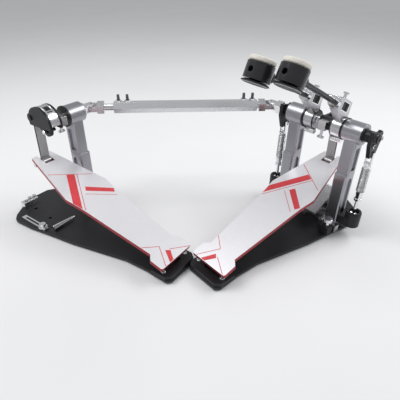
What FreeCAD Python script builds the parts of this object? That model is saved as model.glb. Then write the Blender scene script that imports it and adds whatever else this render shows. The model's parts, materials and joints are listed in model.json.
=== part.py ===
import FreeCAD, Part
import Sketcher
import os
import re

# Double bass drum pedal.  Millimetres.  Row frame: origin on the floor under the
# middle of the main pedal's axle, +X to the drummer's right, +Y to the drum, +Z up.
# The second pedal is drawn in the same local frame and then turned and moved by "slave".

doc = FreeCAD.newDocument("DoublePedal")
sheet = doc.addObject("Spreadsheet::Sheet", "Sizes")

SIZES = [
    ("axle_height", 181.25, "axle centre above the floor"),
    ("heel_reach", 264.3, "axle back to the heel edge of the board"),
    ("board_length", 318.8, "footboard, heel edge to toe, along its slope"),
    ("board_rise", 27.4, "top of the board at its heel edge, above the floor"),
    ("board_slope", 15.04, "angle of the board at rest, degrees"),
    ("board_thick", 6, "footboard plate"),
    ("heel_half", 35, "half width of the board's heel wings"),
    ("heel_wing", 26.2, "length of the heel wings"),
    ("waist_half", 26.2, "half width just ahead of the heel wings"),
    ("flare_half", 37.8, "half width where the board starts to flare"),
    ("flare_at", 170, "distance of that place from the heel edge"),
    ("broad_half", 42.6, "half width at the broadest place"),
    ("broad_at", 200, "distance of the broadest place from the heel edge"),
    ("toe_half", 18.7, "half width of the board's toe"),
    ("slot_half", 8.7, "half width of the toe slot"),
    ("slot_depth", 25.8, "depth of the toe slot"),
    ("hinge_along", 12, "heel hinge, along the board from its heel edge"),
    ("hinge_below", 14, "heel hinge, below the board's top"),
    ("rib_apart", 12, "board's middle to a rib under it"),
    ("rib_thick", 3, "rib under the board"),
    ("rib_deep", 5, "depth of that rib"),
    ("knuckle_half", 12.5, "half width of the board's hinge knuckle"),
    ("pin_radius", 3, "heel hinge pin"),
    ("run_fit", 0.05, "radial clearance of a running fit"),
    ("air", 0.3, "clearance between pieces that pass each other"),
    ("mat_thick", 2.5, "rubber mat under each base"),
    ("base_thick", 4.5, "steel base plate"),
    ("base_back", 276, "axle back to the base plate's heel end"),
    ("base_front", 92, "axle forward to the base plate's toe end"),
    ("base_half", 75, "half width of the base at the posts"),
    ("base_waist", 32, "half width of the base behind the posts"),
    ("corner_radius", 8, "rounding of the base corners"),
    ("block_thick", 6, "heel block, flange"),
    ("block_half", 34, "heel block, half width"),
    ("lug_wide", 7, "heel block lug"),
    ("post_gap", 34, "pedal centre to a right-hand housing"),
    ("post_gap_left", 42, "pedal centre to the left-hand housing"),
    ("housing_long", 31.8, "bearing housing, along the axle"),
    ("housing_radius", 17, "bearing housing"),
    ("post_wide", 22, "post, across the pedal"),
    ("post_deep", 24, "post, along the pedal"),
    ("ledge_height", 110, "top of the post's thicker foot"),
    ("ledge_step", 4, "how much the foot is thicker on its heel side"),
    ("recess_deep", 3, "recess in the post's faces"),
    ("recess_half", 6, "half width of that recess"),
    ("bush_radius", 12, "bearing bush, outside"),
    ("flange_thick", 3, "bearing bush flange"),
    ("flange_radius", 18, "bearing bush flange"),
    ("axle_radius", 6, "axles"),
    ("axle_meet", 19.8, "where the two axles meet, to the left of the pedal's centre"),
    ("crank_y", 28.4, "link pin ahead of the axle"),
    ("crank_z", 4.4, "link pin above the axle"),
    ("link_pin_radius", 2.6, "pins of the drive link"),
    ("link_play", 2.0, "radial play of the link's lower eye on its pin"),
    ("link_wide", 15.6, "drive link, across"),
    ("link_thick", 4, "drive link plate"),
    ("eye_wall", 3.2, "wall around the link's eyes"),
    ("toe_pin_inset", 12.8, "toe pin back from the board's toe end"),
    ("toe_pin_below", 6.5, "toe pin, below the board's top"),
    ("cheek_thick", 4, "cam cheek plate"),
    ("cheek_radius", 28, "round cam cheek"),
    ("cheek_ahead", 5.5, "cam cheek centre ahead of the axle"),
    ("cheek_drop", 1.5, "cam cheek centre below the axle"),
    ("cheek_flat", 8, "flat lower edge of the round cheek below the axle"),
    ("right_slope", 26.2, "slope of the right beater's rod at rest, degrees"),
    ("left_slope", 24.2, "slope of the left beater's rod at rest, degrees"),
    ("rod_offset", 28.6, "beater rod centre line from the axle"),
    ("rod_radius", 4, "beater rod"),
    ("rod_length", 172, "beater rod"),
    ("rod_start", 4, "lower end of the beater rod, from the axle"),
    ("head_reach", 180, "beater head centre from the axle, along the rod"),
    ("head_radius", 19.5, "beater head"),
    ("head_long", 22, "black body of the beater head"),
    ("felt_thick", 7, "felt pad"),
    ("lens_thick", 5.5, "hard plastic striker on the other side"),
    ("hub_wide", 18, "beater hub, along the axle"),
    ("right_hub", 12.5, "pedal centre to the right beater hub"),
    ("left_hub", 38.5, "pedal centre to the far side of the left beater hub"),
    ("barrel_radius", 16, "beater hub barrel"),
    ("boss_radius", 9.5, "rocker hub"),
    ("band_thick", 3, "bright band around the round cam"),
    ("bar_long", 66, "slotted bar of the second pedal's outrigger"),
    ("boss_wide", 15, "spur boss"),
    ("rocker_thick", 6, "spring rocker plate"),
    ("right_spring", 82, "pedal centre to the right spring"),
    ("left_spring", 86, "pedal centre to the left spring"),
    ("lever", 24, "spring eye below the axle"),
    ("eye_pin_radius", 1.5, "pin of the spring hanger"),
    ("eye_play", 2.2, "radial play of that pin in the rocker"),
    ("coil_radius", 7, "spring coil, outside"),
    ("wire", 1.8, "spring wire"),
    ("anchor_height", 42, "where the spring's tension rod is held"),
    ("cup_low", 20, "underside of the spring bracket's cup"),
    ("coil_top", "=axle_height - 49.25", "top end of the coil"),
    ("coil_bottom", "=anchor_height + 45", "bottom end of the coil"),
    ("anchor_pin", 3, "cross pin at the foot of that rod"),
    ("shaft_yaw", 53.07, "direction of the link shaft, degrees from +X"),
    ("joint_span", 332, "distance between the two universal joints"),
    ("slave_turn", 103.7, "turn of the second pedal, degrees about +Z"),
    ("main_joint", 119.5, "pedal centre out to the main universal joint"),
    ("slave_joint", 89, "second pedal's centre out to its universal joint"),
    ("mid_swing", 25, "half of the beaters' swing, degrees"),
    ("yoke_reach", 13, "universal joint centre to the yoke's face"),
    ("yoke_half", 9, "half width of a yoke"),
    ("ear_thick", 2.6, "yoke ear"),
    ("cross_pin", 2.2, "radius of the cross pins"),
    ("cross_fit", 0.25, "radial clearance of the cross pins"),
    ("tube_across", 19, "link tube, across its flats"),
    ("tube_bore", 13, "link tube bore"),
    ("tube_inset", 28.8, "main universal joint centre to the tube's end"),
    ("slave_inset", 42.8, "second pedal's universal joint centre to the tube's end"),
    ("rod_square", 6, "radius of the sliding inner shafts"),
    ("grip_long", 75, "length of an inner shaft inside the tube"),
    ("plate_half", 31, "hoop clamp rocker, half width"),
    ("plate_thick", 5, "hoop clamp rocker, thickness"),
    ("clamp_hinge_y", 14, "hoop clamp hinge ahead of the axle"),
    ("clamp_bolt_back", 30, "clamp bolt back from that hinge"),
    ("clamp_hinge_z", 44, "hoop clamp hinge above the floor"),
    ("spur_radius", 4, "threaded floor spur"),
    ("spur_x", 58, "floor spur to the right of the pedal's centre"),
    ("spur_y", -38, "floor spur ahead of the axle"),
    ("spur_tip", 3.2, "floor spur tip above the floor when drawn up"),
]

for row, (alias, size, meaning) in enumerate(SIZES, 1):
    sheet.set("A%d" % row, meaning)
    sheet.set("B%d" % row, str(size))
    sheet.setAlias("B%d" % row, alias)
doc.recompute()
NAMES = {alias for alias, size, meaning in SIZES}


# --- expressions -----------------------------------------------------------------

def cells(text):
    """Point every size's name in an expression at its cell."""
    return re.sub(r"[a-z][a-z0-9_]*", lambda word: "Sizes." + word[0]
                  if word[0] in NAMES else word[0], "(" + str(text) + ")")


def number(text):
    """The value of an expression now."""
    return float(getattr(sheet.evalExpression(cells(text)), "Value",
                         sheet.evalExpression(cells(text))))


def place(x=0, y=0, z=0, axis="z", turn=0):
    """A placement as an expression: a turn about one axis, then a move."""
    way = {"x": "1; 0; 0", "y": "0; 1; 0", "z": "0; 0; 1"}[axis]
    return ("create(<<placement>>; create(<<vector>>; %s; %s; %s); "
            "create(<<rotation>>; create(<<vector>>; %s); %s))"
            % (cells(x), cells(y), cells(z), way, cells(turn)))


def along(angle, part):
    """Cosine or sine of an angle given in plain degrees."""
    return "%s(%s * 1deg)" % (part, angle)


COS, SIN = along("board_slope", "cos"), along("board_slope", "sin")
YAW_X, YAW_Y = along("shaft_yaw", "cos"), along("shaft_yaw", "sin")
TURN_X, TURN_Y = along("slave_turn", "cos"), along("slave_turn", "sin")

SLAVE_JOINT_X = "(-main_joint - joint_span * %s)" % YAW_X
SLAVE_JOINT_Y = "(-joint_span * %s)" % YAW_Y
FRAMES = {
    "main": place(),
    "slave": place("%s - slave_joint * %s" % (SLAVE_JOINT_X, TURN_X),
                   "%s - slave_joint * %s" % (SLAVE_JOINT_Y, TURN_Y), 0, "z", "slave_turn"),
    "shaft": place(SLAVE_JOINT_X, SLAVE_JOINT_Y, "axle_height", "z", "shaft_yaw"),
}


def on_board(distance, below):
    """Y and Z of a point given along the board and below its top."""
    return ("(-heel_reach + (%s) * %s + (%s) * %s)" % (distance, COS, below, SIN),
            "(board_rise + (%s) * %s - (%s) * %s)" % (distance, SIN, below, COS))


def on_rod(name, reach, out):
    """Y and Z of a point given along a beater's rod and square to it, from the axle."""
    cosine, sine = along(name + "_slope", "cos"), along(name + "_slope", "sin")
    return ("(-(%s) * %s + (%s) * %s)" % (reach, cosine, out, sine),
            "(axle_height + (%s) * %s + (%s) * %s)" % (reach, sine, out, cosine))


HINGE_Y, HINGE_Z = on_board("hinge_along", "hinge_below")
TOE_Y, TOE_Z = on_board("board_length - toe_pin_inset", "toe_pin_below")
CRANK_Y, CRANK_Z = "crank_y", "(axle_height + crank_z)"
BASE_TOP = "(mat_thick + base_thick)"


# --- primitives ------------------------------------------------------------------

LOCAL = {}


def primitive(kind, sizes, local):
    shape = doc.addObject(kind, "Shape")
    for name, text in sizes.items():
        shape.setExpression(name, cells(text))
    shape.setExpression("Placement", local)
    LOCAL[shape.Name] = local
    return shape


def box(long, deep, high, x, y, z, axis="z", turn=0):
    """A box from its low corner."""
    return primitive("Part::Box", {"Length": long, "Width": deep, "Height": high},
                     place(x, y, z, axis, turn))


def slab(half, deep, high, y, z, turn=0):
    """A box centred on the pedal's middle plane, tilted about X."""
    return box("2 * (%s)" % half, deep, high, "-(%s)" % half, y, z, "x", turn)


def rod_x(radius, length, x, y=0, z="axle_height"):
    return primitive("Part::Cylinder", {"Radius": radius, "Height": length},
                     place(x, y, z, "y", 90))


def rod_z(radius, length, x, y, z):
    return primitive("Part::Cylinder", {"Radius": radius, "Height": length}, place(x, y, z))


def cone_z(low, high, length, x, y, z):
    return primitive("Part::Cone", {"Radius1": low, "Radius2": high, "Height": length},
                     place(x, y, z))


def prism_x(radius, length, x, y, z):
    """A hexagonal bar along X."""
    shape = primitive("Part::Prism", {"Circumradius": radius, "Height": length},
                      place(x, y, z, "y", 90) + " * " + place(0, 0, 0, "z", 30))
    shape.Polygon = 6
    return shape


def nut_z(radius, length, x, y, z):
    shape = primitive("Part::Prism", {"Circumradius": radius, "Height": length},
                      place(x, y, z))
    shape.Polygon = 6
    return shape


def rod_along(radius, length, x, y, z, tilt):
    """A cylinder tilted about X: 0 stands along Z, 90 lies towards the heel."""
    return primitive("Part::Cylinder", {"Radius": radius, "Height": length},
                     place(x, y, z, "x", tilt))


def fuse(*shapes):
    if len(shapes) == 1:
        return shapes[0]
    joined = doc.addObject("Part::MultiFuse", "Fuse")
    joined.Shapes = list(shapes)
    joined.Refine = True
    return joined


def cut(base, *tools):
    left = doc.addObject("Part::Cut", "Cut")
    left.Base = base
    left.Tool = fuse(*tools)
    left.Refine = True
    return left


def several(*shapes):
    """Identical loose pieces that share one node."""
    group = doc.addObject("Part::Compound", "Group")
    group.Links = list(shapes)
    return group


# --- sketched bodies -------------------------------------------------------------


class Solid:
    """A PartDesign body made of pads and pockets of point outlines and circles."""

    def __init__(self, name):
        self.body = doc.addObject("PartDesign::Body", name)

    def sketch(self, role, offset):
        drawn = self.body.newObject("Sketcher::SketchObject", "Sketch")
        plane = [item for item in self.body.Origin.OriginFeatures if item.Role == role][0]
        drawn.AttachmentSupport = [(plane, "")]
        drawn.MapMode = "FlatFace"
        drawn.setExpression("AttachmentOffset", offset)
        return drawn

    def fix(self, drawn, element, point, x, y):
        """Hold a sketch point at the values of two expressions."""
        for kind, text, axis in (("DistanceX", x, -2), ("DistanceY", y, -1)):
            size = number(text)
            if abs(size) < 1e-9:
                drawn.addConstraint(Sketcher.Constraint("PointOnObject", element, point, axis))
                continue
            ends = (-1, 1, element, point) if size > 0 else (element, point, -1, 1)
            index = drawn.addConstraint(Sketcher.Constraint(kind, *ends, abs(size)))
            drawn.setExpression("Constraints[%d]" % index,
                                cells(text if size > 0 else "-(%s)" % text))

    def outline(self, drawn, points):
        spots = [FreeCAD.Vector(number(x), number(y), 0) for x, y in points]
        first = drawn.GeometryCount
        count = len(spots)
        for index in range(count):
            drawn.addGeometry(Part.LineSegment(spots[index], spots[(index + 1) % count]))
        for index in range(count):
            follow = first + (index + 1) % count
            drawn.addConstraint(Sketcher.Constraint("Coincident", first + index, 2, follow, 1))
            self.fix(drawn, first + index, 1, *points[index])

    def circle(self, drawn, x, y, radius):
        middle = FreeCAD.Vector(number(x), number(y), 0)
        element = drawn.addGeometry(Part.Circle(middle, FreeCAD.Vector(0, 0, 1), number(radius)))
        self.fix(drawn, element, 3, x, y)
        index = drawn.addConstraint(Sketcher.Constraint("Radius", element, number(radius)))
        drawn.setExpression("Constraints[%d]" % index, cells(radius))

    def draw(self, role, offset, points, circles):
        drawn = self.sketch(role, offset)
        if points:
            self.outline(drawn, points)
        for x, y, radius in circles:
            self.circle(drawn, x, y, radius)
        return drawn

    def pad(self, role, offset, length, points=(), circles=()):
        drawn = self.draw(role, offset, points, circles)
        feature = self.body.newObject("PartDesign::Pad", "Pad")
        feature.Profile = drawn
        feature.setExpression("Length", cells(length))
        doc.recompute()
        return self

    def pocket(self, role, offset, length, points=(), circles=()):
        """Cut from the sketch in the direction of its normal."""
        before = self.body.Shape.Volume
        drawn = self.draw(role, offset, points, circles)
        feature = self.body.newObject("PartDesign::Pocket", "Pocket")
        feature.Profile = drawn
        feature.Reversed = True
        feature.setExpression("Length", cells(length))
        doc.recompute()
        if self.body.Shape.Volume > before - 1e-3:
            raise RuntimeError(self.body.Name + ": a pocket cuts nothing")
        return self

    def fillet(self, radius, keep):
        """Round the edges that keep() picks."""
        base = self.body.Tip
        edges = ["Edge%d" % (index + 1) for index, edge in enumerate(base.Shape.Edges)
                 if keep(edge)]
        feature = self.body.newObject("PartDesign::Fillet", "Fillet")
        feature.Base = (base, edges)
        feature.setExpression("Radius", cells(radius))
        doc.recompute()
        return self


def upright(edge):
    """True for an edge that stands along Z."""
    ends = [vertex.Point for vertex in edge.Vertexes]
    return len(ends) == 2 and (ends[1] - ends[0]).cross(FreeCAD.Vector(0, 0, 1)).Length < 1e-6


def side_view(x):
    """Sketch plane across the pedal at x: sketch x is Y, sketch y is Z, pads go to +X."""
    return place(0, 0, x)


def board_side(x):
    """The same plane turned to the board's slope: along the board, and up from its top."""
    return place("-heel_reach", "board_rise", x, "z", "board_slope")


def board_top(above):
    """The board's own plane: sketch x is across, sketch y along the board."""
    return place(0, "-heel_reach - (%s) * %s" % (above, SIN),
                 "board_rise + (%s) * %s" % (above, COS), "x", "board_slope")


NODES = []


def keep(label, thing, frame="main"):
    """Name a finished sub-part and seat it in its frame."""
    shape = thing.body if isinstance(thing, Solid) else thing
    shape.Label = label
    local = LOCAL.get(shape.Name)
    seat = FRAMES[frame] if local is None else FRAMES[frame] + " * " + local
    shape.setExpression("Placement", seat)
    NODES.append(shape)
    return shape


# --- bases -----------------------------------------------------------------------

def base_outline(inset):
    """Half outline of the base, heel to toe, mirrored to the other side."""
    half = [("block_half - 6 - (%s)" % inset, "-base_back + (%s)" % inset),
            ("block_half - (%s)" % inset, "-base_back + 8 + (%s)" % inset),
            ("base_waist - (%s)" % inset, "-base_back + 48"),
            ("base_waist + 2 - (%s)" % inset, "-base_back + 90"),
            ("base_half - 18 - (%s)" % inset, "-83"),
            ("base_half - 9 - (%s)" % inset, "-24"),
            ("base_half - 3 - (%s)" % inset, "9"),
            ("base_half - (%s)" % inset, "base_front - 42"),
            ("base_half - 10 - (%s)" % inset, "base_front - 30 - (%s)" % inset),
            ("base_half - 53", "base_front - (%s)" % inset)]
    return half + [("-(%s)" % x, y) for x, y in reversed(half)]


def base(side, holes):
    plate = Solid(side + "_base").pad("XY_Plane", place(0, 0, "mat_thick"), "base_thick",
                                      base_outline("0"))
    plate.pocket("XY_Plane", place(0, 0, "mat_thick - 1"), "base_thick + 2", circles=holes)
    if side == "main":
        plate.pad("XY_Plane", place(0, 0, BASE_TOP), "14",
                  [("spur_x - boss_wide / 2", "spur_y - boss_wide / 2"),
                   ("spur_x + boss_wide / 2", "spur_y - boss_wide / 2"),
                   ("spur_x + boss_wide / 2", "spur_y + boss_wide / 2"),
                   ("spur_x - boss_wide / 2", "spur_y + boss_wide / 2")],
                  [("spur_x", "spur_y", "spur_radius + run_fit")])
    plate.fillet("corner_radius", lambda edge: upright(edge) and abs(edge.Vertexes[0].Y) > 20
                 and edge.Vertexes[0].Y > 0 and abs(edge.Vertexes[0].X) > 20)
    keep(side + "_base_plate", plate, side)
    mat = Solid(side + "_mat").pad("XY_Plane", place(), "mat_thick", base_outline("2"))
    if side == "slave":
        keep("slave_rubber_mat", mat, side)
        return
    mat.pocket("XY_Plane", place(0, 0, -1), "mat_thick + 2",
               circles=[("spur_x", "spur_y", "spur_radius + 0.6")])
    pad = slab("plate_half - 2", "22", "3", "clamp_hinge_y + 25", BASE_TOP)
    keep("main_rubber_mat", several(mat.body, pad))


def heel(side):
    """Heel block with two lugs, and the hinge pin."""
    plan = [("-block_half", "-base_back + 9"), ("-block_half + 7", "-base_back + 1"),
            ("block_half - 7", "-base_back + 1"), ("block_half", "-base_back + 9"),
            ("block_half", "-base_back + 36"), ("-block_half", "-base_back + 36")]
    foot, head = "%s + block_thick - 1" % BASE_TOP, "%s + pin_radius + 2.5" % HINGE_Z
    profile = [("%s - 7" % HINGE_Y, foot), ("%s + 7" % HINGE_Y, foot),
               ("%s + 4" % HINGE_Y, head), ("%s - 4" % HINGE_Y, head)]
    lug = "knuckle_half + 0.5"
    block = Solid(side + "_heel").pad("XY_Plane", place(0, 0, BASE_TOP), "block_thick", plan)
    block.pad("YZ_Plane", side_view(lug), "lug_wide", profile)
    block.pad("YZ_Plane", side_view("-(%s) - lug_wide" % lug), "lug_wide", profile)
    block.pocket("YZ_Plane", side_view("-block_half"), "2 * block_half",
                 circles=[(HINGE_Y, HINGE_Z, "pin_radius + run_fit")])
    half, near, far = "knuckle_half + 0.4", "%s - 12" % HINGE_Y, "%s + 12" % HINGE_Y
    block.pocket("XY_Plane", place(0, 0, "%s + 1" % BASE_TOP), "block_thick",
                 [("-(%s)" % half, near), (half, near), (half, far), ("-(%s)" % half, far)])
    keep(side + "_heel_block", block, side)
    reach = "(knuckle_half + lug_wide + 1.5)"
    keep(side + "_heel_pin", rod_x("pin_radius", "2 * %s" % reach, "-%s" % reach, HINGE_Y, HINGE_Z), side)


# --- footboards ------------------------------------------------------------------

def footboard(side):
    """Flared plate with heel knuckle, toe slot, tines and ribs, and its toe pin."""
    half = [("heel_half - 2", "0"), ("heel_half", "2.5"), ("heel_half", "heel_wing - 3"),
            ("heel_half - 3", "heel_wing"), ("waist_half", "heel_wing + 5"),
            ("flare_half", "flare_at"), ("broad_half", "broad_at"),
            ("toe_half", "board_length")]
    slot = [("slot_half", "board_length"), ("slot_half", "board_length - slot_depth")]
    right = half + slot
    points = right + [("-(%s)" % x, y) for x, y in reversed(right)]
    board = Solid(side + "_board").pad("XY_Plane", board_top("-board_thick"),
                                       "board_thick", points)
    skin = "-board_thick + 0.5"
    knuckle = [("hinge_along - 7", skin), ("hinge_along + 12", skin),
               ("hinge_along + 5", "-hinge_below - 4"), ("hinge_along - 5", "-hinge_below - 4")]
    board.pad("YZ_Plane", board_side("-knuckle_half"), "2 * knuckle_half", knuckle)
    toe = "board_length - toe_pin_inset"
    tine = [("%s - 8" % toe, skin), ("%s + 8" % toe, skin),
            ("%s + 5" % toe, "-toe_pin_below - 6"), ("%s - 5" % toe, "-toe_pin_below - 6")]
    lug = "toe_half - slot_half - 2"
    for start in ("slot_half", "-slot_half - (%s)" % lug):
        board.pad("YZ_Plane", board_side(start), lug, tine)
    rib = [("heel_wing + 6", skin), ("flare_at + 60", skin),
           ("flare_at + 50", "-board_thick - rib_deep"), ("heel_wing + 16", "-board_thick - rib_deep")]
    for start in ("-rib_apart - rib_thick", "rib_apart"):
        board.pad("YZ_Plane", board_side(start), "rib_thick", rib)
    board.pocket("YZ_Plane", board_side("-knuckle_half - 1"), "2 * knuckle_half + 2",
                 circles=[("hinge_along", "-hinge_below", "pin_radius + run_fit")])
    board.pocket("YZ_Plane", board_side("-toe_half - 6"), "2 * toe_half + 12",
                 circles=[(toe, "-toe_pin_below", "link_pin_radius + run_fit")])
    pin = rod_x("link_pin_radius", "2 * (toe_half + 3.5)", "-toe_half - 3.5", TOE_Y, TOE_Z)
    keep(side + "_footboard", several(board.body, pin), side)


# --- posts and bearings ----------------------------------------------------------

def post(label, side, inner, outer_side):
    """A post under a bearing housing that starts at x = inner."""
    middle = "(%s + housing_long / 2)" % inner
    left, right = "%s - post_wide / 2" % middle, "%s + post_wide / 2" % middle
    front = "post_deep / 2"

    def plan(back):
        return [(left, back), (right, back), (right, front), (left, front)]

    made = Solid(label)
    made.pad("XY_Plane", place(0, 0, BASE_TOP), "ledge_height - %s" % BASE_TOP,
             plan("-post_deep / 2 - ledge_step"))
    made.pad("XY_Plane", place(0, 0, "ledge_height"), "axle_height - ledge_height - 4",
             plan("-post_deep / 2"))
    made.fillet("2.5", upright)
    made.pad("YZ_Plane", side_view(inner), "housing_long",
             circles=[("0", "axle_height", "housing_radius")])
    made.pocket("YZ_Plane", side_view("%s - 1" % inner), "housing_long + 2",
                circles=[("0", "axle_height", "bush_radius + run_fit")])
    upper = [("-recess_half", "ledge_height + 6"), ("recess_half", "ledge_height + 6"),
             ("recess_half", "axle_height - housing_radius - 8"),
             ("-recess_half", "axle_height - housing_radius - 8")]
    lower = [("-recess_half", "%s + 14" % BASE_TOP), ("recess_half", "%s + 14" % BASE_TOP),
             ("recess_half", "ledge_height - 14"), ("0", "ledge_height - 7"),
             ("-recess_half", "ledge_height - 14")]
    for face in (left, "%s - recess_deep" % right):
        made.pocket("YZ_Plane", side_view(face), "recess_deep", upper)
        made.pocket("YZ_Plane", side_view(face), "recess_deep", lower)
    keep(label, made, side)
    ring = "%s - flange_thick" % inner if outer_side > 0 else "%s + housing_long" % inner
    bush = cut(fuse(rod_x("bush_radius", "housing_long", inner),
                    rod_x("flange_radius", "flange_thick", ring)),
               rod_x("axle_radius + run_fit", "housing_long + 2 * flange_thick + 2",
                     "%s - flange_thick - 1" % inner))
    keep(label + "_bearing", bush, side)


# --- cams, links -----------------------------------------------------------------

def cam(label, side, round_cheek):
    """Two cheeks on the axle that hold the link's upper pin between them."""
    inner = "(link_wide / 2 + air)"
    low, cheeks = "axle_height - cheek_flat", []
    for start in (inner, "-%s - cheek_thick" % inner):
        cheeks.append(rod_x("axle_radius + 5", "cheek_thick", start))
        cheeks.append(rod_x("link_pin_radius + 5", "cheek_thick", start, CRANK_Y, CRANK_Z))
        if round_cheek:
            disc = rod_x("cheek_radius", "cheek_thick", start, "cheek_ahead", "axle_height - cheek_drop")
            spare = box("cheek_thick + 2", "3 * cheek_radius", "cheek_radius", "%s - 1" % start,
                        "-1.5 * cheek_radius", "%s - cheek_radius" % low)
            cheeks.append(cut(disc, spare))
        else:
            cheeks.append(box("cheek_thick", "crank_y", "15", start, 0, "axle_height - 5.5"))
    body = fuse(rod_x("axle_radius + 5", "2 * %s" % inner, "-%s" % inner), *cheeks)
    blind = "-%s" % inner if round_cheek else "-30"
    pin_start = "-%s - cheek_thick - 1" % inner
    if round_cheek:
        body = fuse(body, *adjuster())
    body = cut(body, rod_x("axle_radius + run_fit", "60", blind),
               rod_x("link_pin_radius + run_fit", "60", -30, CRANK_Y, CRANK_Z))
    pin = fuse(rod_x("link_pin_radius", "2 * (%s + cheek_thick + 1)" % inner, pin_start,
                     CRANK_Y, CRANK_Z),
               rod_x("link_pin_radius + 2", "2", "%s - 1" % pin_start, CRANK_Y, CRANK_Z))
    keep(label, several(body, pin), side)


def adjuster():
    """Knurled stroke adjuster and its bolt under the round cam."""
    y, z = "-2", "axle_height - 14"
    return [rod_x("9", "6", "-6", y, z), rod_x("3", "18", "-9", y, z)]


def cam_band():
    """Bright band around the top and heel side of the round cam, between its cheeks."""
    half, y, z = "link_wide / 2", "cheek_ahead", "axle_height - cheek_drop"
    ring = cut(rod_x("cheek_radius", "link_wide", "-%s" % half, y, z),
               rod_x("cheek_radius - band_thick", "link_wide + 2", "-%s - 1" % half, y, z))
    wide, start = "link_wide + 4", "-%s - 2" % half
    spare = [box(wide, "60", "70", start, "cheek_ahead + 4", "axle_height - 40"),
             box(wide, "80", "60", start, "-40", "axle_height - 62")]
    keep("slave_cam_band", cut(ring, *spare), "slave")


def axle_clamp(label, side, start, wide):
    """Split clamp block on the heel side of an axle, with its key bolt."""
    bore = "axle_radius + 5 + run_fit" if side == "main" else "axle_radius + run_fit"
    reach = "19" if side == "main" else "19 + axle_radius + 3"
    block = cut(box(wide, reach, "15", start, "-19", "axle_height - 7.5"),
                rod_x(bore, "80", "-40"))
    middle = "(%s) + (%s) / 2" % (start, wide)
    y = "-14" if side == "main" else "-5"
    bolt = fuse(rod_along("2.4", "13", middle, y, "axle_height - 7.5", 175),
                box("11", "3.5", "3.5", "%s - 5.5" % middle, y + " - 2.75", "axle_height - 22"))
    keep(label, several(block, cut(bolt, block)), side)


def link(label, side):
    """Rigid drive link from the cam's pin down to the toe pin."""
    eye, low_eye = "link_pin_radius + run_fit", "link_pin_radius + link_play"
    lean = "atan2(%s - %s; %s - %s) / 1deg" % (TOE_Y, CRANK_Y, CRANK_Z, TOE_Z)
    length = "sqrt((%s - %s)^2 + (%s - %s)^2)" % (TOE_Y, CRANK_Y, CRANK_Z, TOE_Z)
    x = "-link_wide / 2"
    plate = primitive("Part::Box",
                      {"Length": "link_wide", "Width": "link_thick", "Height": length},
                      place(x, TOE_Y, TOE_Z, "x", lean) + " * " + place(0, "-link_thick / 2", 0))
    body = fuse(plate, rod_x("%s + eye_wall" % eye, "link_wide", x, CRANK_Y, CRANK_Z),
                rod_x("%s + eye_wall" % low_eye, "link_wide", x, TOE_Y, TOE_Z))
    bores = [rod_x(eye, "link_wide + 4", "%s - 2" % x, CRANK_Y, CRANK_Z),
             rod_x(low_eye, "link_wide + 4", "%s - 2" % x, TOE_Y, TOE_Z)]
    keep(label, cut(body, *bores), side)


# --- beaters ---------------------------------------------------------------------

def hub(name, start):
    """Beater hub: a barrel on the axle, a V-shaped casting and the rod's clamp block."""
    wide = "hub_wide"
    made = Solid(name + "_beater_hub")
    made.pad("YZ_Plane", side_view(start), wide, circles=[("0", "axle_height", "barrel_radius")])
    corners = [(-13, 6), (3, 20), (8, 40), (38, 40), (46, 36), (46, 20), (34, 15), (14, 6)]
    made.pad("YZ_Plane", side_view("%s + 2" % start), "%s - 4" % wide,
             [on_rod(name, str(reach), str(out)) for reach, out in corners])
    pocket = [on_rod(name, str(reach), str(out))
              for reach, out in ((14, 22), (36, 22), (36, 36), (14, 36))]
    made.pocket("YZ_Plane", side_view("%s + %s - 4.5" % (start, wide)), "2.5", pocket)
    made.pocket("YZ_Plane", side_view("%s - 1" % start), "%s + 2" % wide,
                circles=[("0", "axle_height", "axle_radius + run_fit")])
    low_y, low_z = on_rod(name, "-20", "rod_offset")
    made.pocket("XY_Plane", place("(%s) + hub_wide / 2" % start, low_y, low_z, "x", "90 - %s_slope" % name),
                "85", circles=[("0", "0", "rod_radius + run_fit")])
    keep(name + "_beater_hub", made)


def beater(name, middle):
    """Rod, head body, felt, hard striker and the screws of one beater."""
    tilt, head_tilt = "90 - %s_slope" % name, "-%s_slope" % name
    low_y, low_z = on_rod(name, "rod_start", "rod_offset")
    rod = rod_along("rod_radius", "rod_length - rod_start", middle, low_y, low_z, tilt)
    keep(name + "_beater_rod", rod)

    def disc(radius, length, out):
        y, z = on_rod(name, "head_reach", "rod_offset + (%s)" % out)
        return rod_along(radius, length, middle, y, z, head_tilt)

    collar_y, collar_z = on_rod(name, "head_reach - head_radius - 9", "rod_offset")
    collar = rod_along("rod_radius + 4", "14", middle, collar_y, collar_z, tilt)
    head = cut(fuse(disc("head_radius", "head_long", "-head_long / 2"), collar),
               rod_along("rod_radius + run_fit", "head_reach + head_radius + 2 - rod_start",
                         middle, low_y, low_z, tilt))
    keep(name + "_beater_head", head)
    keep(name + "_felt_pad", disc("head_radius - 1", "felt_thick", "head_long / 2"))
    groove = disc("head_radius - 2", "1.6", "-head_long / 2 - 1.6")
    rim = disc("head_radius + 1", "lens_thick - 1.6", "-head_long / 2 - lens_thick")
    keep(name + "_striker", fuse(groove, rim))


def rod_clamp(name, start):
    """Memory clamp on the rod, and its key screws."""
    y, z = on_rod(name, "46", "rod_offset")
    middle = "%s + hub_wide / 2" % start
    tilt, square = "90 - %s_slope" % name, "-%s_slope" % name
    ring = cut(fuse(rod_along("rod_radius + 5", "9", middle, y, z, tilt),
                    rod_x("3", "20", "%s - 15" % middle, *on_rod(name, "50.5", "rod_offset + 6"))),
               rod_along("rod_radius + run_fit", "20", middle, *on_rod(name, "43", "rod_offset"), tilt))
    screw = fuse(rod_along("2.5", "10", middle, *on_rod(name, "26", "40"), square),
                 rod_along("4.6", "3", middle, *on_rod(name, "26", "47"), square))
    lower = rod_x("4.5", "hub_wide", start, -2, "axle_height - barrel_radius - 4.8")
    keep(name + "_rod_clamp", several(ring, screw, lower))


# --- springs ---------------------------------------------------------------------

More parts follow.
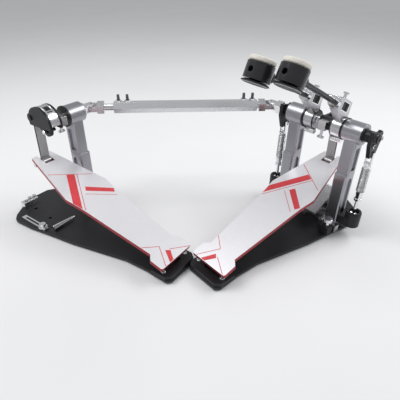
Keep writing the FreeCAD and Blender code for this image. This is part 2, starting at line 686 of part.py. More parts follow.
def spring_side(name, x, way, gap_to_post, hub_start, hub_long):
    """Rocker, hanger, coil, tension rod and floor bracket of one return spring."""
    eye_z = "(axle_height - lever)"
    plate_x = "%s - rocker_thick / 2" % x
    outer = "%s + rocker_thick" % plate_x
    rocker = Solid(name + "_rocker_plate")
    rocker.pad("YZ_Plane", side_view(plate_x), "rocker_thick",
               [("-16", "axle_height - 8"), ("-8", "%s - 7" % eye_z), ("8", "%s - 7" % eye_z),
                ("15", "axle_height - 10"), ("18", "axle_height + 5"), ("13", "axle_height + 10"),
                ("8", "axle_height + 8"), ("-14", "axle_height + 13")])
    rocker.pad("YZ_Plane", side_view(hub_start), hub_long,
               circles=[("0", "axle_height", "boss_radius")])
    rocker.pocket("YZ_Plane", side_view("%s - 20" % plate_x), "60",
                  circles=[("0", "axle_height", "axle_radius + run_fit"),
                           ("0", eye_z, "eye_pin_radius + eye_play")])
    screws = []
    for radius, length, y, z in (("3.2", "3", "12", "axle_height - 2"),
                                 ("2.6", "3.5", "-7", "axle_height - 10")):
        screws.append(rod_x(radius, length, outer if way > 0 else "%s - %s" % (plate_x, length), y, z))
    keep(name + "_rocker", several(rocker.body, *screws))

    gap = "(rocker_thick / 2 + air)"
    arm_high = "%s - coil_top - 4" % eye_z
    hanger = fuse(rod_x("eye_pin_radius", "2 * %s + 4" % gap, "%s - %s - 2" % (x, gap), 0, eye_z),
                  box("2", "5", arm_high, "%s + %s" % (x, gap), "-2.5", "coil_top + 5.5"),
                  box("2", "5", arm_high, "%s - %s - 2" % (x, gap), "-2.5", "coil_top + 5.5"),
                  box("2 * %s + 4" % gap, "8", "3", "%s - %s - 2" % (x, gap), "-4", "coil_top + 5"),
                  nut_z("6.5", "5", x, 0, "coil_top"))
    keep(name + "_spring_hanger", hanger)
    coil = cut(rod_z("coil_radius", "coil_top - coil_bottom", x, 0, "coil_bottom"),
               rod_z("coil_radius - wire", "coil_top - coil_bottom - 4", x, 0, "coil_bottom + 2"))
    keep(name + "_spring", coil)
    tension = fuse(nut_z("6.5", "5", x, 0, "coil_bottom - 5"),
                   nut_z("5.5", "8", x, 0, "coil_bottom - 13"),
                   nut_z("6.5", "4", x, 0, "coil_bottom - 17"),
                   rod_z("2.8", "coil_bottom - 10 - anchor_height", x, 0, "anchor_height"),
                   rod_x("anchor_pin", "11", "%s - 5.5" % x, 0, "anchor_height"))
    keep(name + "_tension_rod", tension)

    lean_room = rod_z("8.2", "30", x, 0, "anchor_height - anchor_pin - air")
    beside = "(%s + housing_long / 2 + post_wide / 2)" % gap_to_post
    arm_long = "abs(%s) - %s" % (x, beside)
    arm = box(arm_long, "26", "15", beside if way > 0 else x, -13, "cup_low")
    cup = cut(rod_z("13", "anchor_height + 3 - cup_low", x, 0, "cup_low"),
              box("20", "40", "60", "%s - 20" % beside if way > 0 else "-%s" % beside, -20, 0))
    ring = cut(rod_z("12", "2.5", x, 0, "anchor_height + 3"),
               rod_z("8.6", "10", x, 0, "anchor_height"))
    keep(name + "_spring_bracket", several(cut(fuse(arm, cup), lean_room), ring))


# --- universal joints and link shaft ----------------------------------------------

def yoke(hub_long, bore, flip):
    """A fork that reaches back from its hub to the joint centre, along local X."""
    ear = "yoke_half - ear_thick"
    near = "-yoke_reach - (%s)" % hub_long if flip else "yoke_reach"
    shapes = [box(hub_long, "2 * yoke_half", "2 * yoke_half - 3", near, "-yoke_half",
                  "-yoke_half + 1.5")]
    reach_x = "-yoke_reach - 1" if flip else "0"
    for side in (ear, "-yoke_half"):
        shapes.append(box("yoke_reach + 1", "ear_thick", "8.4", reach_x, side, "-4.2"))
        shapes.append(primitive("Part::Cylinder", {"Radius": "4.2", "Height": "ear_thick"},
                                place(0, "%s + ear_thick" % side, 0, "x", 90)))
    ears = primitive("Part::Cylinder",
                     {"Radius": "cross_pin + cross_fit", "Height": "2 * yoke_half + 2"},
                     place(0, "yoke_half + 1", 0, "x", 90))
    socket = rod_x(bore, "200", "-200 - yoke_reach - 1" if flip else "yoke_reach + 1", 0, 0)
    return cut(fuse(*shapes), ears, socket)


def seated(shape, x, y, z, roll):
    """Turn a yoke about its own axis and put its joint centre in place."""
    shape.setExpression("Placement", place(x, y, z, "x", roll))
    return shape


SHAFT_ROLL = "(atan(tan(mid_swing * 1deg) * cos(shaft_yaw * 1deg)) / 1deg)"
SLAVE_BEND = "((slave_turn - shaft_yaw) * 1deg)"
SLAVE_ROLL = "(atan(tan(%s * 1deg) / cos%s) / 1deg)" % (SHAFT_ROLL, SLAVE_BEND)


def cross(label, frame_a, center_a, roll_a, frame_b, center_b, roll_b):
    """Two crossed pins, each lying as its own yoke holds it."""
    pins = []
    for frame, center, roll in ((frame_a, center_a, roll_a), (frame_b, center_b, roll_b)):
        pin = doc.addObject("Part::Cylinder", "Pin")
        pin.setExpression("Radius", cells("cross_pin"))
        pin.setExpression("Height", cells("2 * yoke_half - 0.6"))
        pin.setExpression("Placement", " * ".join((FRAMES[frame], place(*center, "x", roll),
                                                   place(0, "yoke_half - 0.3", 0, "x", 90))))
        pins.append(pin)
    heart = doc.addObject("Part::Sphere", "Heart")
    heart.setExpression("Radius", cells("cross_pin + 2.4"))
    heart.setExpression("Placement", "%s * %s" % (FRAMES[frame_a], place(*center_a)))
    shape = fuse(heart, *pins)
    shape.Label = label
    NODES.append(shape)


def link_shaft():
    tube_start, tube_end = "slave_inset", "joint_span - tube_inset"
    tube_long = "%s - %s" % (tube_end, tube_start)
    tube = cut(prism_x("tube_across / 2 / cos(30deg)", tube_long, tube_start, 0, 0),
               rod_x("tube_bore / 2", "%s + 2" % tube_long, "%s - 1" % tube_start, 0, 0))
    keep("link_tube", tube, "shaft")
    screws, top = [], "tube_across / 2"
    for x in ("slave_inset + 9", "slave_inset + 25", "joint_span - tube_inset - 25",
              "joint_span - tube_inset - 9"):
        screws.append(fuse(nut_z("5.2", "3.5", x, 0, top), rod_z("2.6", "9", x, 0, top),
                           box("4.4", "4.4", "7", "%s - 2.2" % x, -2.2, "%s + 6" % top)))
    keep("link_tube_screws", several(*screws), "shaft")


def shaft_half(near):
    """Inner shaft of one end: it slides in the tube at the slave's end, and fills it at the other."""
    start = "yoke_reach + 1" if near else "joint_span - tube_inset - grip_long"
    length = "%s - yoke_reach - 1 + grip_long" % ("slave_inset" if near else "tube_inset")
    stem = rod_x("rod_square", length, start, 0, 0)
    return stem if near else fuse(rod_x("tube_bore / 2", "grip_long", start, 0, 0), stem)


def universal_joints():
    left = seated(yoke("13", "axle_radius + run_fit", False), "-main_joint", 0, "axle_height",
                  "90 + mid_swing")
    keep("left_axle", several(left, rod_x("axle_radius", "main_joint - yoke_reach - 1 - axle_meet - 1",
                                          "-main_joint + yoke_reach + 1")))
    far = seated(yoke("9", "axle_radius + run_fit", True), "slave_joint", 0, "axle_height",
                 "90 + %s" % SLAVE_ROLL)
    keep("slave_axle", several(far, rod_x("axle_radius", "slave_joint - yoke_reach - 1 + link_wide / 2",
                                        "-link_wide / 2")),
         "slave")
    main_end = seated(yoke("12", "rod_square + run_fit", True), "joint_span", 0, 0, SHAFT_ROLL)
    keep("main_inner_shaft", several(main_end, shaft_half(False)), "shaft")
    slave_end = seated(yoke("12", "rod_square + run_fit", False), 0, 0, 0, SHAFT_ROLL)
    keep("slave_inner_shaft", several(slave_end, shaft_half(True)), "shaft")
    cross("main_joint_cross", "main", ("-main_joint", 0, "axle_height"), "90 + mid_swing",
          "shaft", ("joint_span", 0, 0), SHAFT_ROLL)
    cross("slave_joint_cross", "slave", ("slave_joint", 0, "axle_height"), "90 + %s" % SLAVE_ROLL,
          "shaft", (0, 0, 0), SHAFT_ROLL)


# --- hoop clamp ------------------------------------------------------------------

def hoop_clamp():
    y, z, half = "clamp_hinge_y", "clamp_hinge_z", "plate_half"
    plate = Solid("clamp_rocker")
    plate.pad("YZ_Plane", side_view("-%s" % half), "2 * %s" % half,
              [("%s - 50" % y, "%s - 12" % z), ("%s - 4" % y, "%s + 9" % z),
               ("%s + 14" % y, "%s + 12" % z),
               ("%s + 24" % y, "%s + 8" % z), ("%s + 44" % y, "%s - 8" % z),
               ("%s + 44" % y, "%s - 8 - plate_thick" % z), ("%s + 22" % y, "%s + 1" % z),
               ("%s + 12" % y, "%s + 6" % z), ("%s + 6" % y, "%s - 7" % z), ("%s - 6" % y, "%s - 7" % z),
               ("%s - 8" % y, "%s + 1" % z), ("%s - 50" % y, "%s - 12 - plate_thick" % z)])
    plate.pocket("YZ_Plane", side_view("-%s - 1" % half), "2 * %s + 2" % half,
                 circles=[(y, z, "pin_radius + run_fit")])
    plate.pocket("XY_Plane", place(0, 0, "10"), "60", circles=[("0", "%s - clamp_bolt_back" % y, "4.5")])
    keep("hoop_clamp_rocker", plate)
    lug_x = "plate_half + air"
    lugs = []
    for start in (lug_x, "-(%s) - 1.9" % lug_x):
        lugs.append(box("1.9", "16", "%s + 5 - %s" % (z, BASE_TOP), start, "%s - 8" % y, BASE_TOP))
    feet = slab("%s + 1.9" % lug_x, "16", "3", "%s - 8" % y, BASE_TOP)
    bracket = cut(fuse(feet, *lugs),
                  rod_x("pin_radius + run_fit", "2 * plate_half + 20", "-plate_half - 10", y, z))
    pin = rod_x("pin_radius", "2 * (plate_half + air + 1.9)", "-(plate_half + air + 1.9)", y, z)
    keep("hoop_clamp_bracket", several(bracket, pin))
    bolt_y = "clamp_hinge_y - clamp_bolt_back"
    bolt = fuse(rod_z("3.2", "clamp_hinge_z + 7 - %s" % BASE_TOP, 0, bolt_y, BASE_TOP),
                nut_z("8", "4", 0, bolt_y, "%s + 4" % BASE_TOP),
                rod_z("6", "3", 0, bolt_y, "clamp_hinge_z + 6"),
                rod_z("5", "2", 0, bolt_y, BASE_TOP))
    keep("hoop_clamp_bolt", bolt)


# --- floor spurs and small base pieces --------------------------------------------

def spur():
    """Threaded spur with a knurled head, drawn up into its boss on the base."""
    tip = cone_z("0.6", "spur_radius", "5", "spur_x", "spur_y", "spur_tip")
    stem = rod_z("spur_radius", "26", "spur_x", "spur_y", "spur_tip + 5")
    head = rod_z("7.5", "6", "spur_x", "spur_y", "spur_tip + 27")
    keep("main_spur", fuse(tip, stem, head))


def foot_block():
    """Bright L-shaped block that ties the right post to the base."""
    inner = "(post_gap + housing_long / 2 - post_wide / 2)"
    front = "(-post_deep / 2 - ledge_step)"
    keep("main_foot_block", fuse(
        box("13", "20", "15", "%s - 13" % inner, "%s - 2" % front, BASE_TOP),
        box("34", "11", "12", "%s - 4" % inner, "%s - 11" % front, BASE_TOP)))


def outrigger():
    """Slotted bar with its clamp bolt, cone-ended rod and corner clamp on the slave's base."""
    bar = cut(box("9", "bar_long", "3", "-66", "-22", BASE_TOP),
              box("3.5", "bar_long - 26", "5", "-63.2", "-4", "%s - 1" % BASE_TOP))
    bolt = fuse(rod_z("5.5", "7", "-61.5", "-13", "%s + 3" % BASE_TOP),
                rod_z("7.5", "1.5", "-61.5", "-13", "%s + 3" % BASE_TOP))
    rod = primitive("Part::Cone", {"Radius1": "5", "Radius2": "2", "Height": "44"},
                    place("-55", "-34", "%s + 5" % BASE_TOP, "y", 90))
    clamp = cut(box("30", "12", "11", "-44", "66", BASE_TOP),
                rod_z("3", "20", "-36", "72", "%s + 4" % BASE_TOP))
    screws = [rod_z("3.6", "5", x, "72", "%s + 11" % BASE_TOP) for x in ("-28", "-19")]
    keep("slave_outrigger", several(bar, bolt, rod, clamp, *screws), "slave")


base("main", [("-45", "58", "2.6"), ("45", "58", "2.6"), ("spur_x", "spur_y", "spur_radius + run_fit")])
base("slave", [("-35", "4", "3"), ("-32", "52", "3"), ("35", "50", "3")])
for side in ("main", "slave"):
    heel(side)
    footboard(side)

post("main_right_post", "main", "post_gap", 1)
post("main_left_post", "main", "(-post_gap_left - housing_long)", -1)
post("slave_post", "slave", "post_gap", 1)

keep("right_axle", rod_x("axle_radius", "right_spring + rocker_thick / 2 + 2 + axle_meet", "-axle_meet"))

cam("main_cam", "main", False)
cam("slave_cam", "slave", True)
cam_band()
axle_clamp("main_axle_clamp", "main", "-link_wide / 2 + 1", "link_wide - 2")
axle_clamp("slave_axle_clamp", "slave", "link_wide / 2 + air + cheek_thick + 1", "11")
link("main_drive_link", "main")
link("slave_drive_link", "slave")

hub("right", "right_hub")
hub("left", "-left_hub")
for name, start in (("right", "right_hub"), ("left", "-left_hub")):
    beater(name, "(%s + hub_wide / 2)" % start)
    rod_clamp(name, "(%s)" % start)

spring_side("right", "right_spring", 1, "post_gap", "post_gap + housing_long + 1.5",
            "right_spring - post_gap - housing_long - 1.5 + 1")
spring_side("left", "(-left_spring)", -1, "post_gap_left", "-left_spring - 1",
            "left_spring - post_gap_left - housing_long - 1.5 + 1")

link_shaft()
universal_joints()
hoop_clamp()
spur()
foot_block()
outrigger()

# --- check and write ---------------------------------------------------------------

doc.recompute()
faults = [item.Label for item in doc.Objects if "Invalid" in item.State or "Error" in item.State]
for item in NODES:
    if item.Shape.isNull() or not item.Shape.isValid():
        faults.append(item.Label + " shape")
if faults:
    raise RuntimeError("not built: " + ", ".join(faults))
os.makedirs("parts", exist_ok=True)
for item in NODES:
    item.Shape.exportStep("parts/%s.step" % item.Label)
print(len(NODES), "sub-parts")
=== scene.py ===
import json
import math

import bmesh
import bpy
from mathutils import Matrix, Vector, noise


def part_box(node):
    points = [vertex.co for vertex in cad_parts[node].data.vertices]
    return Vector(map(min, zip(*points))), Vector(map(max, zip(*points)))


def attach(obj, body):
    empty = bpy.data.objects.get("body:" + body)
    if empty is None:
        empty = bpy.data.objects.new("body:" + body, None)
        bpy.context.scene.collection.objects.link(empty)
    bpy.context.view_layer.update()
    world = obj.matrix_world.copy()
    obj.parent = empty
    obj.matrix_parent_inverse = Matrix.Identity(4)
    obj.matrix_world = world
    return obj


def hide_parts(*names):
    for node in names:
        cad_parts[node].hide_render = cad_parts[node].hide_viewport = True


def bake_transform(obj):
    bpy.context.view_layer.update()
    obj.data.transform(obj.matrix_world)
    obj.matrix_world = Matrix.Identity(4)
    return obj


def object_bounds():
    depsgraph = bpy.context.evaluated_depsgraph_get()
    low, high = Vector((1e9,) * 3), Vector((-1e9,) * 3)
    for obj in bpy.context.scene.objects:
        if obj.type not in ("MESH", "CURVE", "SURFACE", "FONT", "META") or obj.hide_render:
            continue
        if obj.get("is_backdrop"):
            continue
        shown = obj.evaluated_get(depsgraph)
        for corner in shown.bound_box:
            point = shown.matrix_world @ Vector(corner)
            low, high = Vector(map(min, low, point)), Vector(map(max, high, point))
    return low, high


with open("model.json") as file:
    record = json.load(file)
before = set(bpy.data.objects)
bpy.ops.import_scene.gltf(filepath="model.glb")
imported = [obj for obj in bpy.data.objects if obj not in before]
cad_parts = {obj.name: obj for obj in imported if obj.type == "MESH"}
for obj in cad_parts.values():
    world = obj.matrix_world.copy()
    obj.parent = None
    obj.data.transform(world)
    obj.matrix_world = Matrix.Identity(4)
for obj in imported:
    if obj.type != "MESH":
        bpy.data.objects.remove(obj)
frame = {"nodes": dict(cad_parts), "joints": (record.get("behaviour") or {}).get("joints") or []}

# Double bass drum pedal: materials, and the fine pieces that the CAD leaves plain.
# Metres, in the row frame of the CAD: +X to the drummer's right, +Y to the drum, +Z up.

cad_low, cad_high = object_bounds()
MM = 0.001
UP = Vector((0, 0, 1))
JOINTS = {joint["name"]: joint for joint in frame["joints"]}
NODES = frame["nodes"]
SIDES = ("main", "slave")
SPRINGS = BEATERS = ("right", "left")


# --- places read from the CAD ---------------------------------------------------------

def pivot(joint):
    return Vector(JOINTS[joint]["pos_m"])


def direction(joint):
    return Vector(JOINTS[joint]["axis"]).normalized()


def basis(origin, x, y, z):
    """Matrix of a local frame from its origin and three directions."""
    turn = Matrix((x, y, z)).transposed().to_4x4()
    return Matrix.Translation(origin) @ turn


def about(origin, axis, toward):
    """Local frame whose Z is an axis, and whose X points nearest to a direction."""
    z = Vector(axis).normalized()
    x = (Vector(toward) - Vector(toward).dot(z) * z).normalized()
    return basis(origin, x, z.cross(x), z)


def top_face(node):
    """The largest face that looks up."""
    faces = [face for face in NODES[node].data.polygons if face.normal.z > 0.9]
    return max(faces, key=lambda face: face.area)


def board_frame(side):
    """Frame on a footboard's top: X across to the right, Y from heel to toe."""
    node = side + "_footboard"
    face = top_face(node)
    z = face.normal.copy()
    x = -direction(side + "_board_tilt")
    y = z.cross(x)
    on_top = NODES[node].data.vertices[face.vertices[0]].co
    hinge = pivot(side + "_board_tilt")
    heel = min(vertex.co.dot(y) for vertex in NODES[node].data.vertices
               if abs((vertex.co - on_top).dot(z)) < 0.1 * MM)
    return basis(x * hinge.dot(x) + y * heel + z * on_top.dot(z), x, y, z)


ACROSS = Vector((1, 0, 0))
PEDAL = {"main": Matrix.Identity(4)}
slave_x = -direction("slave_cam_swing")
slave_axle = pivot("slave_cam_swing")
PEDAL["slave"] = basis(Vector((slave_axle.x, slave_axle.y, 0)), slave_x, UP.cross(slave_x), UP)
AXLE = slave_axle.z
BOARD = {side: board_frame(side) for side in SIDES}
HEAD = {}
for name in BEATERS:
    rod = direction(name + "_head_turn")
    out = -rod.cross(ACROSS)
    HEAD[name] = basis(pivot(name + "_head_turn"), ACROSS, out.cross(ACROSS), out)


# --- materials ------------------------------------------------------------------------

class Nodes:
    """Short way to write a material's nodes: values are set, sockets are linked."""

    def __init__(self, name):
        self.material = bpy.data.materials.new(name)
        self.material.use_nodes = True
        self.tree = self.material.node_tree
        self.tree.nodes.clear()
        self.place = self.add("TexCoord").outputs["Object"]
        self.facing = self.add("TexCoord").outputs["Normal"]

    def add(self, kind, inputs=None, **settings):
        made = self.tree.nodes.new("ShaderNode" + kind)
        for key, value in settings.items():
            setattr(made, key, value)
        for key, value in (inputs or {}).items():
            if isinstance(value, bpy.types.NodeSocket):
                self.tree.links.new(value, made.inputs[key])
            else:
                made.inputs[key].default_value = value
        return made

    def math(self, operation, *values):
        return self.add("Math", dict(enumerate(values)), operation=operation).outputs[0]

    def dot(self, vector, way):
        return self.add("VectorMath", {0: vector, 1: tuple(way)},
                        operation="DOT_PRODUCT").outputs["Value"]

    def stretched(self, grain):
        """Object coordinates pressed along the grain, given as (frame, (x, y, z) scales)."""
        matrix, scales = grain
        axes = [matrix.to_3x3().col[index] for index in range(3)]
        parts = [self.math("MULTIPLY", self.dot(self.place, axis), scale)
                 for axis, scale in zip(axes, scales)]
        return self.add("CombineXYZ", dict(enumerate(parts))).outputs[0]

    def noise(self, scale, vector=None, detail=3.0, rough=0.55):
        return self.add("TexNoise", {"Vector": vector or self.place, "Scale": scale,
                                     "Detail": detail, "Roughness": rough}).outputs["Fac"]

    def spread(self, value, low, high, start=0.3, end=0.7):
        return self.add("MapRange", {"Value": value, "From Min": start, "From Max": end,
                                     "To Min": low, "To Max": high}).outputs["Result"]

    def blend(self, share, first, second):
        made = self.add("Mix", data_type="RGBA")
        for index, value in ((0, share), (6, first), (7, second)):
            if isinstance(value, bpy.types.NodeSocket):
                self.tree.links.new(value, made.inputs[index])
            else:
                made.inputs[index].default_value = value
        return made.outputs[2]

    def rounded(self, radius):
        return self.add("Bevel", {"Radius": radius}, samples=6).outputs["Normal"]

    def edges(self, soft):
        """1 on the edges that the rounded normal turns, 0 on the faces between."""
        flat = self.add("NewGeometry").outputs["True Normal"]
        same = self.add("VectorMath", {0: soft, 1: flat},
                        operation="DOT_PRODUCT").outputs["Value"]
        return self.spread(same, 1.0, 0.0, 0.80, 0.985)

    def bump(self, height, strength, distance, normal):
        return self.add("Bump", {"Height": height, "Strength": strength, "Distance": distance,
                                 "Normal": normal}).outputs["Normal"]

    def shader(self, colour, rough, normal, **fixed):
        made = self.add("BsdfPrincipled", {"Base Color": colour, "Roughness": rough,
                                           "Normal": normal})
        for key, value in fixed.items():
            made.inputs[key.replace("_", " ")].default_value = value
        out = self.add("OutputMaterial")
        self.tree.links.new(made.outputs[0], out.inputs["Surface"])
        return self.material


def tone(colour, factor=1.0):
    return tuple(min(1.0, part * factor) for part in colour) + (1.0,)


PLAIN = (PEDAL["main"], (1, 1, 1))


def metal(name, colour, rough, grain=PLAIN, scale=900.0, change=0.06, spread=0.05, relief=0.04,
          edge=1.25, edge_radius=0.5, metallic=1.0, coat=0.0):
    """Worked metal: fine grain, cloudy tone, softened edges that are worn brighter."""
    n = Nodes(name)
    fine = n.noise(scale, n.stretched(grain))
    cloud = n.noise(28.0, detail=4.0)
    soft = n.rounded(edge_radius * MM)
    worn = n.math("MULTIPLY", n.edges(soft), n.spread(n.noise(160.0), 0.35, 1.0))
    body = n.blend(n.spread(fine, 0, 1), tone(colour, 1 - change), tone(colour, 1 + change))
    body = n.blend(n.spread(cloud, 0.0, 0.5), body, tone(colour, 1 - 2 * change))
    body = n.blend(worn, body, tone(colour, edge))
    shine = n.math("ADD", n.spread(fine, rough - spread, rough + spread),
                   n.spread(cloud, -spread / 2, spread / 2))
    return n.shader(body, shine, n.bump(fine, relief, 0.1 * MM, soft), Metallic=metallic,
                    Coat_Weight=coat, Coat_Roughness=0.12)


def black_finish(name, colour, rough, scale, relief, edge=2.2, coat=0.0, speck=0.0):
    """Powder coat, moulded plastic or rubber: fine dimples, dull patches and rubbed edges."""
    n = Nodes(name)
    grain = n.noise(scale, detail=2.0)
    cloud = n.noise(22.0, detail=5.0)
    soft = n.rounded(0.5 * MM)
    worn = n.math("MULTIPLY", n.edges(soft), n.spread(n.noise(220.0), 0.1, 0.8))
    body = n.blend(n.spread(cloud, 0, 1), tone(colour, 0.8), tone(colour, 1.35))
    if speck:
        dust = n.math("GREATER_THAN", n.noise(1400.0, detail=1.0), 0.69)
        body = n.blend(n.math("MULTIPLY", dust, speck), body, tone(colour, 5.0))
    body = n.blend(worn, body, tone(colour, edge))
    return n.shader(body, n.spread(cloud, rough - 0.07, rough + 0.08),
                    n.bump(grain, relief, 0.15 * MM, soft), Coat_Weight=coat, Coat_Roughness=0.15,
                    Specular_IOR_Level=0.3)


def felt_finish():
    """Cream felt: fine fibres over soft tufts, with faint yellowed patches."""
    n = Nodes("cream_felt")
    fibres = n.noise(1700.0, detail=5.0, rough=0.7)
    tufts = n.noise(320.0, detail=3.0)
    stain = n.noise(60.0)
    body = n.blend(n.spread(fibres, 0, 1), (0.80, 0.76, 0.67, 1), (0.93, 0.90, 0.83, 1))
    body = n.blend(n.spread(stain, 0.0, 0.30), body, (0.76, 0.70, 0.58, 1))
    height = n.math("ADD", fibres, n.math("MULTIPLY", tufts, 0.8))
    normal = n.bump(height, 0.6, 0.5 * MM, n.add("NewGeometry").outputs["Normal"])
    return n.shader(body, n.spread(tufts, 0.86, 1.0), normal, Sheen_Weight=0.35,
                    Sheen_Roughness=0.5)


def board_finish(side):
    """Brushed silver plate; its cut edges and slot walls are anodised dark red."""
    n = Nodes(side + "_board_silver")
    up = BOARD[side].to_3x3().col[2]
    brushed = n.stretched((BOARD[side], (9, 240, 60)))
    fine = n.noise(9.0, brushed, detail=5.0, rough=0.65)
    cloud = n.noise(14.0, detail=5.0)
    soft = n.rounded(0.45 * MM)
    silver = n.blend(n.spread(fine, 0, 1), (0.82, 0.81, 0.84, 1), (0.92, 0.91, 0.94, 1))
    silver = n.blend(n.spread(cloud, 0.0, 0.30), silver, (0.78, 0.77, 0.81, 1))
    slope = n.math("ABSOLUTE", n.dot(n.facing, up))
    side_wall = n.spread(slope, 1.0, 0.0, 0.45, 0.6)
    red = n.blend(n.spread(n.noise(500.0), 0, 1), (0.30, 0.012, 0.022, 1), (0.42, 0.02, 0.034, 1))
    body = n.blend(side_wall, silver, red)
    worn = n.math("MULTIPLY", n.edges(soft), n.spread(n.noise(180.0), 0.0, 0.8))
    body = n.blend(worn, body, (0.80, 0.74, 0.74, 1))
    shine = n.math("ADD", n.spread(fine, 0.30, 0.40), n.spread(cloud, -0.04, 0.05))
    return n.shader(body, shine, n.bump(fine, 0.05, 0.1 * MM, soft), Metallic=0.45,
                    Coat_Weight=0.25, Coat_Roughness=0.2)


def print_finish(name, colour):
    """Screen-printed ink on the board: slightly uneven, with tiny pinholes."""
    n = Nodes(name)
    blot = n.noise(90.0, detail=5.0)
    pits = n.math("GREATER_THAN", n.noise(2600.0, detail=1.0), 0.74)
    body = n.blend(n.spread(blot, 0, 1), tone(colour, 0.92), tone(colour, 1.08))
    body = n.blend(n.math("MULTIPLY", pits, 0.6), body, (0.62, 0.6, 0.62, 1))
    geometry = n.add("NewGeometry").outputs["Normal"]
    return n.shader(body, n.spread(blot, 0.34, 0.46), n.bump(pits, 0.1, 0.05 * MM, geometry))


def link_finish(side):
    """Satin plate with blackened edges: the faces that look along the pedal stay bright."""
    n = Nodes(side + "_link_plate")
    across = PEDAL[side].to_3x3().col[0]
    fine = n.noise(8.0, n.stretched((PEDAL[side], (400, 400, 25))), detail=4.0)
    cloud = n.noise(40.0, detail=4.0)
    soft = n.rounded(0.5 * MM)
    plate = n.blend(n.spread(fine, 0, 1), (0.40, 0.40, 0.41, 1), (0.50, 0.50, 0.51, 1))
    edge_on = n.spread(n.math("ABSOLUTE", n.dot(n.facing, across)), 0.0, 1.0, 0.5, 0.7)
    body = n.blend(edge_on, plate, (0.035, 0.035, 0.038, 1))
    body = n.blend(n.math("MULTIPLY", n.edges(soft), 0.45), body, (0.6, 0.6, 0.61, 1))
    shine = n.spread(cloud, 0.27, 0.38)
    return n.shader(body, shine, n.bump(fine, 0.05, 0.1 * MM, soft), Metallic=0.9)


SHAFT = about(pivot("shaft_turn"), direction("shaft_turn"), UP)
LENGTHWISE_X = (PEDAL["main"], (0.06, 1, 1))
LENGTHWISE_SHAFT = (SHAFT, (1, 1, 0.03))

MATERIALS = {
    "gunmetal": metal("satin_gunmetal", (0.40, 0.40, 0.43), 0.34, scale=1300.0, relief=0.10,
                      spread=0.06, edge=1.6, edge_radius=0.7),
    "bearing_silver": metal("turned_silver", (0.66, 0.66, 0.68), 0.26, grain=LENGTHWISE_X,
                            scale=1100.0),
    "chrome": metal("polished_chrome", (0.80, 0.80, 0.82), 0.09, scale=600.0, change=0.02,
                    spread=0.03, relief=0.01, edge=1.1, edge_radius=0.4),
    "steel": metal("satin_steel", (0.56, 0.56, 0.57), 0.27, scale=1500.0, relief=0.06),
    "cast_silver": metal("cast_silver", (0.60, 0.60, 0.62), 0.30, scale=1500.0, relief=0.12,
                         spread=0.07, edge=1.5, edge_radius=0.7),
    "tube": metal("hex_tube_silver", (0.80, 0.80, 0.82), 0.27, grain=LENGTHWISE_SHAFT,
                  scale=1500.0, change=0.03, spread=0.03, relief=0.02),
    "dark_rod": metal("dark_rod", (0.10, 0.10, 0.11), 0.24, scale=700.0, edge=2.0),
    "spring": metal("spring_wire", (0.62, 0.62, 0.63), 0.22, scale=800.0, edge=1.2,
                    edge_radius=0.2),
    "black_steel": black_finish("black_powder_coat", (0.014, 0.014, 0.016), 0.42, 1500.0, 0.5,
                                speck=0.35),
    "black_cast": black_finish("black_casting", (0.014, 0.014, 0.016), 0.36, 1100.0, 0.35,
                               edge=3.5),
    "rubber": black_finish("black_rubber", (0.020, 0.020, 0.020), 0.72, 900.0, 0.8, edge=1.3),
    "bush": black_finish("black_bush", (0.018, 0.018, 0.020), 0.28, 700.0, 0.15, coat=0.2),
    "head_black": black_finish("beater_black", (0.016, 0.016, 0.019), 0.27, 700.0, 0.12,
                               coat=0.35),
    "striker_black": black_finish("striker_black", (0.014, 0.014, 0.016), 0.5, 700.0, 0.12),
    "felt": felt_finish(),
    "red": print_finish("red_ink", (0.62, 0.045, 0.055)),
}
for side in SIDES:
    MATERIALS[side + "_board"] = board_finish(side)
    MATERIALS[side + "_link"] = link_finish(side)

FINISH = {
    "gunmetal": ["main_right_post", "main_left_post", "slave_post"],
    "cast_silver": ["right_beater_hub", "left_beater_hub"],
    "steel": ["hoop_clamp_bracket", "hoop_clamp_rocker", "main_heel_pin", "slave_heel_pin",
              "main_joint_cross", "slave_joint_cross"],
    "bearing_silver": ["main_inner_shaft", "slave_inner_shaft", "slave_cam_band", "main_axle_clamp",
                       "slave_axle_clamp", "main_foot_block"],
    "chrome": ["left_axle", "right_axle", "slave_axle", "right_rod_clamp", "left_rod_clamp",
               "hoop_clamp_bolt", "main_spur", "slave_outrigger", "right_spring_hanger",
               "left_spring_hanger", "right_tension_rod", "left_tension_rod"],
    "tube": ["link_tube"],
    "dark_rod": ["right_beater_rod", "left_beater_rod", "link_tube_screws"],
    "black_steel": ["main_base_plate", "slave_base_plate"],
    "black_cast": ["main_heel_block", "slave_heel_block", "right_spring_bracket",
                   "left_spring_bracket", "right_rocker", "left_rocker", "slave_cam", "main_cam"],
    "rubber": ["main_rubber_mat", "slave_rubber_mat"],
    "bush": ["main_right_post_bearing", "main_left_post_bearing", "slave_post_bearing"],
    "head_black": ["right_beater_head", "left_beater_head", "right_striker", "left_striker"],
    "felt": ["right_felt_pad", "left_felt_pad"],
    "spring": ["right_spring", "left_spring"],
    "main_board": ["main_footboard"],
    "slave_board": ["slave_footboard"],
    "main_link": ["main_drive_link"],
    "slave_link": ["slave_drive_link"],
}
for look, labels in FINISH.items():
    for label in labels:
        mesh = NODES[label].data
        mesh.materials.clear()
        mesh.materials.append(MATERIALS[look])


# --- piece building -------------------------------------------------------------------

def piece(name, made, look, body, matrix=None, slot=None, smooth=35.0):
    """Turn a bmesh drawn in a local frame into a piece that rides on a body."""
    bmesh.ops.recalc_face_normals(made, faces=made.faces)
    mesh = bpy.data.meshes.new(name)
    made.to_mesh(mesh)
    made.free()
    if matrix is not None:
        mesh.transform(matrix)
    mesh.materials.append(MATERIALS[look])
    for face in mesh.polygons:
        face.use_smooth = True
    mesh.set_sharp_from_angle(angle=math.radians(smooth))
    thing = bpy.data.objects.new(name, mesh)
    bpy.context.scene.collection.objects.link(thing)
    if body:
        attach(thing, body)
    return thing


